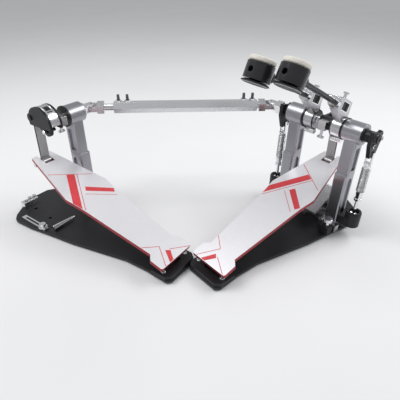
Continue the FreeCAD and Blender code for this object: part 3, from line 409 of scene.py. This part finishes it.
def loft(made, rings, closed=False):
    """Skin rings of points, each ring closed; the ends are capped unless the loft closes."""
    rows = [[made.verts.new(point) for point in ring] for ring in rings]
    count = len(rows[0])
    pairs = list(zip(rows, rows[1:])) + ([(rows[-1], rows[0])] if closed else [])
    for low, high in pairs:
        for index in range(count):
            after = (index + 1) % count
            made.faces.new((low[index], low[after], high[after], high[index]))
    if not closed:
        made.faces.new(list(reversed(rows[0])))
        made.faces.new(rows[-1])
    return made


def circle(radius, z, count):
    return [Vector((radius * math.cos(2 * math.pi * index / count),
                    radius * math.sin(2 * math.pi * index / count), z))
            for index in range(count)]


def turned(profile, count=72):
    """Solid of revolution about Z from (radius, height) steps, bottom to top."""
    return loft(bmesh.new(), [circle(radius, height, count) for radius, height in profile])


def hollow_turned(profile, count=72):
    """Ring of revolution about Z: its closed section is swept round."""
    rings = [circle(radius, height, count) for radius, height in profile]
    return loft(bmesh.new(), rings, closed=True)


def rounded_ring(inner, outer, low, high, ease):
    """Section of a ring, as (radius, height) corners that are cut by ease."""
    return [(inner + ease, low), (outer - ease, low), (outer, low + ease), (outer, high - ease),
            (outer - ease, high), (inner + ease, high), (inner, high - ease), (inner, low + ease)]


def knurled(radius, depth, low, high, teeth):
    """A cylinder whose wall carries fine upright teeth, with chamfered ends."""
    def ring(scale, z, ripple):
        points = []
        for index in range(teeth * 4):
            bite = depth * ripple if index % 4 in (2, 3) else 0.0
            angle = 2 * math.pi * index / (teeth * 4)
            reach = radius * scale - bite
            points.append(Vector((reach * math.cos(angle), reach * math.sin(angle), z)))
        return points

    ease = (high - low) * 0.12
    return loft(bmesh.new(), [ring(0.93, low, 0), ring(1.0, low + ease, 1),
                              ring(1.0, high - ease, 1), ring(0.93, high, 0)])


def hex_head(radius, low, high):
    """Hexagonal head with chamfered corners."""
    ease = (high - low) * 0.18
    return loft(bmesh.new(), [circle(radius * 0.94, low, 6), circle(radius, low + ease, 6),
                              circle(radius, high - ease, 6), circle(radius * 0.88, high, 6)])


def socket_head(radius, low, high, socket=0.55):
    """Round cap screw with a hexagonal key socket, both drawn with as many points a ring."""
    count = 24
    ease = min(0.5 * MM, (high - low) * 0.25)

    def hexagon(reach, z):
        points = []
        for index in range(count):
            angle = 2 * math.pi * index / count
            edge = reach * math.cos(math.pi / 6) / math.cos((angle % (math.pi / 3)) - math.pi / 6)
            points.append(Vector((edge * math.cos(angle), edge * math.sin(angle), z)))
        return points

    return loft(bmesh.new(), [
        circle(radius, low, count), circle(radius, high - ease, count),
        circle(radius - ease, high, count), hexagon(radius * socket, high),
        hexagon(radius * socket, high - 0.6 * (high - low))])


def plate(points, low, high):
    """Flat outline raised from low to high, in the local XY plane."""
    return loft(bmesh.new(), [[Vector((x, y, z)) for x, y in points] for z in (low, high)])


def tube_path(path, radius, count=10):
    """Round wire along a list of points."""
    rings = []
    side = None
    for index, point in enumerate(path):
        before, after = path[max(index - 1, 0)], path[min(index + 1, len(path) - 1)]
        ahead = (after - before).normalized()
        side = (side - side.dot(ahead) * ahead if side else ahead.orthogonal()).normalized()
        other = ahead.cross(side)
        rings.append([point + radius * (math.cos(2 * math.pi * step / count) * side
                                        + math.sin(2 * math.pi * step / count) * other)
                      for step in range(count)])
    return loft(bmesh.new(), rings)


# --- board graphics -------------------------------------------------------------------

def corners(*spots):
    return [Vector(spot) for spot in spots]


def strip(start, end, wide):
    """Corners of a straight strip between two points."""
    a, b = Vector(start), Vector(end)
    across = Vector((a.y - b.y, b.x - a.x)).normalized() * wide / 2
    return [a - across, b - across, b + across, a + across]


INK = 0.12 * MM
SIDE_MARGIN, HEEL_MARGIN = 0.3, 0.4
EDGE_STEPS = 12

# Half widths of the board's top at distances from its heel edge, in mm.
BOARD_EDGE = ((0, 34), (26, 34.6), (31, 26), (170, 37.6), (200, 42.4), (318.8, 18.5))

# Outlines on the board's top, in mm: across to the right, and along from the heel edge.
GRAPHICS = {
    "toe_line": strip((-26, 266), (33.5, 224), 1.1),
    "wide_stripe": corners((-2.5, 248), (8.5, 240.5), (-37.5, 166), (-40, 186)),
    "thin_line": strip((12, 238.5), (-35, 162), 1.0),
    "label_box": corners((-4.5, 197), (1.5, 205.5), (36, 173), (31, 165)),
    "label_line": strip((-10, 191), (29, 157), 0.9),
    "heel_line_left": strip((-27, 49), (-5, 32), 1.0),
    "heel_line_in": strip((-5, 32), (-26, 0.8), 1.0),
    "heel_stripe": corners((-3.6, 21), (2.6, 15.6), (-8.0, 0.8), (-16.0, 0.8)),
    "heel_line_right": strip((3, 18), (33, -0.5), 1.0),
}


def board_half(along):
    """Half width of the board's top at a distance from its heel edge, in mm."""
    for (low, first), (high, second) in zip(BOARD_EDGE, BOARD_EDGE[1:]):
        if along <= high:
            return first + (second - first) * max(along - low, 0) / (high - low)
    return BOARD_EDGE[-1][1]


def clipped(points):
    """An outline cut off where it leaves the board's edge on either side or at the heel."""
    made = []
    for index, spot in enumerate(points):
        after = points[(index + 1) % len(points)]
        for step in range(EDGE_STEPS):
            here = spot.lerp(after, step / EDGE_STEPS)
            limit = board_half(here.y) - SIDE_MARGIN
            made.append((min(max(here.x, -limit), limit) * MM, max(here.y, HEEL_MARGIN) * MM))
    return made


for side in SIDES:
    for name, points in GRAPHICS.items():
        piece("%s_board_%s" % (side, name), plate(clipped(points), 0.01 * MM, INK), "red",
              side + "_board", BOARD[side], "board_metal")


# --- beater heads ---------------------------------------------------------------------

HEAD_STEPS = 96
WOOL, LUMPS = 0.22 * MM, 0.25 * MM


def head_sizes(name):
    """Radius of a head, and the heights of its felt and striker along the head's axis."""
    low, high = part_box(name + "_felt_pad")
    radius = (high.x - low.x) / 2 + 1 * MM
    inward = HEAD[name].inverted()
    felt = [inward @ vertex.co for vertex in NODES[name + "_felt_pad"].data.vertices]
    striker = [inward @ vertex.co for vertex in NODES[name + "_striker"].data.vertices]
    return radius, [spot.z for spot in felt], [spot.z for spot in striker]


for name in BEATERS:
    radius, felt_z, striker_z = head_sizes(name)
    body, seat = name + "_head", HEAD[name]
    foot, brim = max(striker_z), min(felt_z)
    pad = turned([(radius - 1.6 * MM, brim), (radius - 0.7 * MM, brim + 0.7 * MM),
                  (radius - 0.5 * MM, brim + 2.4 * MM), (radius - 0.9 * MM, brim + 4.6 * MM),
                  (radius - 2.2 * MM, brim + 6.1 * MM), (radius - 4.2 * MM, brim + 6.8 * MM),
                  (radius - 9 * MM, brim + 7 * MM), (3 * MM, brim + 7.1 * MM)], HEAD_STEPS)
    bmesh.ops.subdivide_edges(pad, edges=pad.edges[:], cuts=2, use_grid_fill=True)
    for vertex in pad.verts:
        if vertex.co.z > brim + 0.3 * MM:
            fuzz = noise.noise(vertex.co * 900) * WOOL + noise.noise(vertex.co * 160) * LUMPS
            vertex.co += vertex.co.normalized() * fuzz
    felt = piece(name + "_felt_face", pad, "felt", body, seat, "felt", smooth=180)
    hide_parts(name + "_felt_pad")
    low = min(striker_z)
    dome = turned([(2 * MM, low), (radius * 0.35, low + 0.15 * MM), (radius * 0.6, low + 0.5 * MM),
                   (radius * 0.8, low + 1.1 * MM), (radius * 0.93, low + 1.9 * MM),
                   (radius + 0.2 * MM, low + 2.9 * MM), (radius + 0.9 * MM, low + 3.5 * MM),
                   (radius + 0.9 * MM, low + 4.1 * MM), (radius + 0.2 * MM, low + 4.4 * MM),
                   (radius - 1.8 * MM, low + 4.4 * MM), (radius - 2 * MM, foot)], HEAD_STEPS)
    striker = piece(name + "_striker_cap", dome, "striker_black", body, seat, "head_plastic")
    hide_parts(name + "_striker")
    groove = hollow_turned(rounded_ring(radius - 2.4 * MM, radius - 1.2 * MM, foot - 1.4 * MM,
                                        foot - 0.1 * MM, 0.15 * MM))
    piece(name + "_striker_ring", groove, "steel", body, seat, "head_plastic")


# --- springs --------------------------------------------------------------------------

WIRE = 0.95 * MM
TURNS, TURN_STEPS = 18, 26
CLOSED_PITCH = 2 * WIRE

for name in SPRINGS:
    low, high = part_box(name + "_spring")
    reach = (high.x - low.x) / 2 - WIRE
    foot, top = low.z + WIRE, high.z - WIRE
    x, y = (low.x + high.x) / 2, (low.y + high.y) / 2
    rise = top - foot - 2 * CLOSED_PITCH
    path = []
    for index in range(TURNS * TURN_STEPS + 1):
        turns = index / TURN_STEPS
        if turns < 1:
            z = foot + CLOSED_PITCH * turns
        elif turns > TURNS - 1:
            z = top - CLOSED_PITCH * (TURNS - turns)
        else:
            z = foot + CLOSED_PITCH + rise * (turns - 1) / (TURNS - 2)
        angle = 2 * math.pi * turns
        path.append(Vector((x + reach * math.cos(angle), y + reach * math.sin(angle), z)))
    coil = piece(name + "_coil_spring", tube_path(path, WIRE, 10), "spring", None, smooth=60)
    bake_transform(coil)
    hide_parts(name + "_spring")


# --- beater hubs ----------------------------------------------------------------------

def frame_plate(inner, outer, low, high):
    """Flat rectangular frame between two rectangles given by their half sizes."""
    made = bmesh.new()
    section = ((outer, low), (outer, high), (inner, high), (inner, low))
    rings = []
    for x, y in ((-1, -1), (1, -1), (1, 1), (-1, 1)):
        rings.append([Vector((x * half[0], y * half[1], z)) for half, z in section])
    return loft(made, rings, closed=True)


def along_x(x, y, z, way=1):
    """Frame whose Z runs along the pedal's X."""
    return Matrix.Translation(Vector((x, y, z))) @ about(Vector(), Vector((way, 0, 0)), UP)


# A pocket in each hub's cheek: its centre from the axle, half sizes and depth, and the half size of
# a near-black sheet at its floor that is painted shade for the shadow in the pocket.
POCKET_REACH, POCKET_OUT, POCKET_DEEP = 25 * MM, 29 * MM, 2.5 * MM
POCKET_HALF, POCKET_SHADE_HALF = (10.2 * MM, 6.2 * MM), (10.9 * MM, 6.9 * MM)
RIM_HALF, NO_HOLE = (12.0 * MM, 8.0 * MM), (0.2 * MM, 0.2 * MM)
CHEEK_INSET = 2 * MM
BARREL, RING_WIDE = 16 * MM, 1.6 * MM

for name in BEATERS:
    low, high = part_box(name + "_beater_hub")
    body = name + "_beater_axle"
    rod = direction(name + "_head_turn")
    out = rod.cross(ACROSS)
    face = Vector((high.x - CHEEK_INSET, 0, AXLE)) + rod * POCKET_REACH + out * POCKET_OUT
    seat = basis(face, rod, -out, ACROSS)
    rim = frame_plate(POCKET_HALF, RIM_HALF, -0.6 * MM, 0.4 * MM)
    piece(name + "_hub_pocket_rim", rim, "chrome", body, seat, "post_metal", smooth=20)
    # Near-black sheet at the pocket's floor: painted shade, a dark plate standing in for the shadow
    # inside the pocket.
    back = frame_plate(NO_HOLE, POCKET_SHADE_HALF, -POCKET_DEEP - 0.3 * MM, -POCKET_DEEP + 0.1 * MM)
    piece(name + "_hub_pocket_painted_shade", back, "black_cast", body, seat, "casting")
    start = low.x if name == "right" else high.x - RING_WIDE
    section = rounded_ring(BARREL - 1 * MM, BARREL + 0.5 * MM, 0, RING_WIDE, 0.2 * MM)
    piece(name + "_barrel_ring", hollow_turned(section, 96), "bush", body,
          along_x(start, 0, AXLE), "post_metal")

low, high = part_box("right_axle")
cap = turned([(6.6 * MM, -0.6 * MM), (7.4 * MM, 0), (7.4 * MM, 1.4 * MM), (6.6 * MM, 2.1 * MM),
              (3.4 * MM, 2.1 * MM), (3.0 * MM, 1.2 * MM), (0.6 * MM, 1.2 * MM)])
piece("right_axle_cap", cap, "black_cast", "right_beater_axle", along_x(high.x, 0, AXLE),
      "casting")


# --- second pedal's cam ---------------------------------------------------------------

CAM_RADIUS, CAM_AHEAD, CAM_DROP = 28 * MM, 5.5 * MM, 1.5 * MM
PATCH_STEPS = 14
WINDOW_HALF, RIM_THIN, RIM_AT = 4.6 * MM, 0.6 * MM, 6.9 * MM
ADJUSTER_Y, ADJUSTER_Z = -2 * MM, AXLE - 14 * MM


def band_patch(half, start, end, proud):
    """Curved patch on the cam's band, between two angles from straight up toward the heel."""
    low, high = CAM_RADIUS - 0.3 * MM, CAM_RADIUS + proud
    section = ((-half, low), (half, low), (half, high), (-half, high))
    rings = []
    for step in range(PATCH_STEPS + 1):
        angle = math.radians(start + (end - start) * step / PATCH_STEPS)
        rings.append([Vector((x, CAM_AHEAD - reach * math.sin(angle),
                              AXLE - CAM_DROP + reach * math.cos(angle)))
                      for x, reach in section])
    return loft(bmesh.new(), rings)


def cam_piece(name, made, look, matrix, slot, **settings):
    """Piece of the second pedal's cam, placed in that pedal's frame."""
    piece(name, made, look, "slave_cam_axle", PEDAL["slave"] @ matrix, slot, **settings)


for index, (start, end) in enumerate(((14, 34), (38, 42))):
    cam_piece("slave_cam_window_%d" % (index + 1), band_patch(WINDOW_HALF, start, end, 0.06 * MM),
              "black_cast", Matrix.Identity(4), "casting")
for index, x in enumerate((-RIM_AT, RIM_AT)):
    cam_piece("slave_cam_rim_%d" % (index + 1), band_patch(RIM_THIN, 2, 88, 0.5 * MM),
              "chrome", Matrix.Translation(Vector((x, 0, 0))), "chrome")
cam_piece("slave_adjuster_knurl", knurled(9.3 * MM, 0.5 * MM, -6.1 * MM, 0.1 * MM, 36),
          "black_cast", along_x(0, ADJUSTER_Y, ADJUSTER_Z), "casting")
cam_piece("slave_adjuster_nut", hex_head(3.8 * MM, 0, 4 * MM), "chrome",
          along_x(-9 * MM, ADJUSTER_Y, ADJUSTER_Z, -1), "chrome", smooth=20)


# --- screws, nuts and caps ------------------------------------------------------------

ROCKER_SCREW_INSET, ROCKER_SCREW_HIGH = 3.5 * MM, 3.2 * MM

# Radius of each rocker screw, and its place ahead of and above the axle, in mm.
ROCKER_SCREWS = ((4.4, 12, -2), (3.6, -7, -10))

for name, way in (("right", 1), ("left", -1)):
    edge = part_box(name + "_rocker")[1 if way > 0 else 0].x
    for index, (radius, y, z) in enumerate(ROCKER_SCREWS):
        cap = socket_head(radius * MM, 0, ROCKER_SCREW_HIGH)
        seat = along_x(edge - way * ROCKER_SCREW_INSET, y * MM, AXLE + z * MM, way)
        piece("%s_rocker_screw_%d" % (name, index + 1), cap, "chrome", name + "_beater_axle",
              seat, "chrome")

low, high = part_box("main_spur")
x, y = (low.x + high.x) / 2, (low.y + high.y) / 2
knurl = knurled((high.x - low.x) / 2 + 0.3 * MM, 0.5 * MM, high.z - 6.1 * MM, high.z + 0.1 * MM,
                32)
piece("main_spur_knurl", knurl, "chrome", "floor_spur", Matrix.Translation(Vector((x, y, 0))),
      "chrome")

TUBE_TOP = 9.5 * MM
TUBE_NUTS = (37.8, 53.8, 264.2, 280.2)

for index, reach in enumerate(TUBE_NUTS):
    spot = pivot("shaft_turn") + direction("shaft_turn") * reach * MM + UP * TUBE_TOP
    along = SHAFT.to_3x3().col[2]
    piece("link_tube_nut_%d" % (index + 1), hex_head(5.5 * MM, 0, 3.6 * MM), "chrome",
          "shaft_tube", basis(spot, along, UP.cross(along), UP), "chrome", smooth=20)

# Places in a pedal's frame or on its board, in mm.
PLATE_THICK, HEEL_BLOCK_HIGH = 4.5, 6
HEEL_SCREW_X, HEEL_SCREW_Y = 26, -258
POST_X = {"main": (("left", -57.9), ("right", 49.9)), "slave": (("right", 49.9),)}
BASE_SCREW_APART, BASE_SCREW_Y = 6, 19
TOE_PIN = (21.9, 306, -6.5)

for side in SIDES:
    base = "frame" if side == "main" else "slave_frame"
    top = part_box(side + "_base_plate")[0].z + PLATE_THICK * MM
    local = PEDAL[side]

    for index, way in enumerate((-1, 1)):
        spot = Vector((way * HEEL_SCREW_X * MM, HEEL_SCREW_Y * MM, top + HEEL_BLOCK_HIGH * MM))
        piece("%s_heel_screw_%d" % (side, index + 1), socket_head(4 * MM, -0.2 * MM, 1.8 * MM),
              "chrome", base, local @ Matrix.Translation(spot), "casting")

    for label, x in POST_X[side]:
        for index, way in enumerate((-1, 1)):
            spot = Vector(((x + way * BASE_SCREW_APART) * MM, BASE_SCREW_Y * MM, top))
            piece("%s_%s_base_screw_%d" % (side, label, index + 1),
                  socket_head(4 * MM, -0.2 * MM, 3.4 * MM), "chrome", base,
                  local @ Matrix.Translation(spot), "chrome")

    for index, way in enumerate((-1, 1)):
        cap = turned([(3.3 * MM, -0.8 * MM), (3.6 * MM, -0.4 * MM), (3.6 * MM, 0.8 * MM),
                      (3.0 * MM, 1.2 * MM), (0.5 * MM, 1.2 * MM)], 36)
        spot = BOARD[side] @ (Vector((way * TOE_PIN[0], TOE_PIN[1], TOE_PIN[2])) * MM)
        piece("%s_toe_pin_cap_%d" % (side, index + 1), cap, "chrome", side + "_board",
              about(spot, local.to_3x3().col[0] * way, UP), "chrome")


# --- camera, light and floor ----------------------------------------------------------

# Strength and colour of the white world: as a light, and as the camera sees it.
WORLD_LIGHT = (0.5, (0.97, 0.98, 1.0, 1))
WORLD_SEEN = (0.41, (0.98, 0.98, 1.0, 1))

CAMERA_SPOT = Vector((0.29797, -0.54324, 0.40568))
CAMERA_HEADING = Vector((-0.75, 0.6614, 0))
CAMERA_PITCH, CAMERA_ROLL = math.radians(33.06), 0.011
SENSOR, LENS = 36, 33.19


def world_light():
    world = bpy.data.worlds.new("studio")
    bpy.context.scene.world = world
    world.use_nodes = True
    tree = world.node_tree
    tree.nodes.clear()
    out = tree.nodes.new("ShaderNodeOutputWorld")
    rays = tree.nodes.new("ShaderNodeLightPath")
    choice = tree.nodes.new("ShaderNodeMixShader")
    tree.links.new(rays.outputs["Is Camera Ray"], choice.inputs[0])
    for index, (strength, colour) in enumerate((WORLD_LIGHT, WORLD_SEEN)):
        made = tree.nodes.new("ShaderNodeBackground")
        made.inputs["Strength"].default_value = strength
        made.inputs["Color"].default_value = colour
        tree.links.new(made.outputs[0], choice.inputs[index + 1])
    tree.links.new(choice.outputs[0], out.inputs["Surface"])


def lamp(name, spot, target, size, power):
    """Rectangular area lamp that faces a target."""
    light = bpy.data.lights.new(name, "AREA")
    light.shape = "RECTANGLE"
    light.size, light.size_y = size
    light.energy = power
    thing = bpy.data.objects.new(name, light)
    bpy.context.scene.collection.objects.link(thing)
    spot, target = Vector(spot), Vector(target)
    thing.location = spot
    thing.rotation_mode = "QUATERNION"
    thing.rotation_quaternion = (target - spot).to_track_quat("-Z", "Y")


def floor():
    """Pale floor just below the rubber mats."""
    n = Nodes("pale_floor")
    speckle = n.noise(3.0, detail=2.0)
    body = n.blend(n.spread(speckle, 0, 1), (0.80, 0.80, 0.81, 1), (0.82, 0.82, 0.83, 1))
    normal = n.add("NewGeometry").outputs["Normal"]
    material = n.shader(body, n.spread(speckle, 0.86, 0.94), normal, Specular_IOR_Level=0.1)
    made = bmesh.new()
    bmesh.ops.create_grid(made, x_segments=2, y_segments=2, size=30)
    mesh = bpy.data.meshes.new("floor")
    made.to_mesh(mesh)
    made.free()
    mesh.materials.append(material)
    ground = bpy.data.objects.new("floor", mesh)
    bpy.context.scene.collection.objects.link(ground)
    ground.location.z = -0.2 * MM
    ground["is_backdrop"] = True


def camera():
    """The photograph's viewpoint, with its small roll."""
    ahead = CAMERA_HEADING * math.cos(CAMERA_PITCH) - UP * math.sin(CAMERA_PITCH)
    ahead.normalize()
    right = CAMERA_HEADING.cross(UP).normalized()
    up = right.cross(ahead)
    turned_right = right * math.cos(CAMERA_ROLL) + up * math.sin(CAMERA_ROLL)
    turned_up = up * math.cos(CAMERA_ROLL) - right * math.sin(CAMERA_ROLL)
    data = bpy.data.cameras.new("view")
    data.sensor_width = SENSOR
    data.lens = LENS
    data.clip_start = 0.01
    thing = bpy.data.objects.new("view", data)
    bpy.context.scene.collection.objects.link(thing)
    thing.matrix_world = basis(CAMERA_SPOT, turned_right, turned_up, -ahead)
    bpy.context.scene.camera = thing


world_light()
centre = (cad_low + cad_high) / 2
lamp("key", (centre.x - 0.5, centre.y - 0.6, 1.5), centre, (0.9, 0.9), 13.0)
lamp("back", (centre.x + 0.5, centre.y + 1.1, 1.2), centre, (1.2, 0.5), 12.0)
floor()
camera()
bpy.context.scene.view_settings.view_transform = "Standard"

low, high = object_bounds()
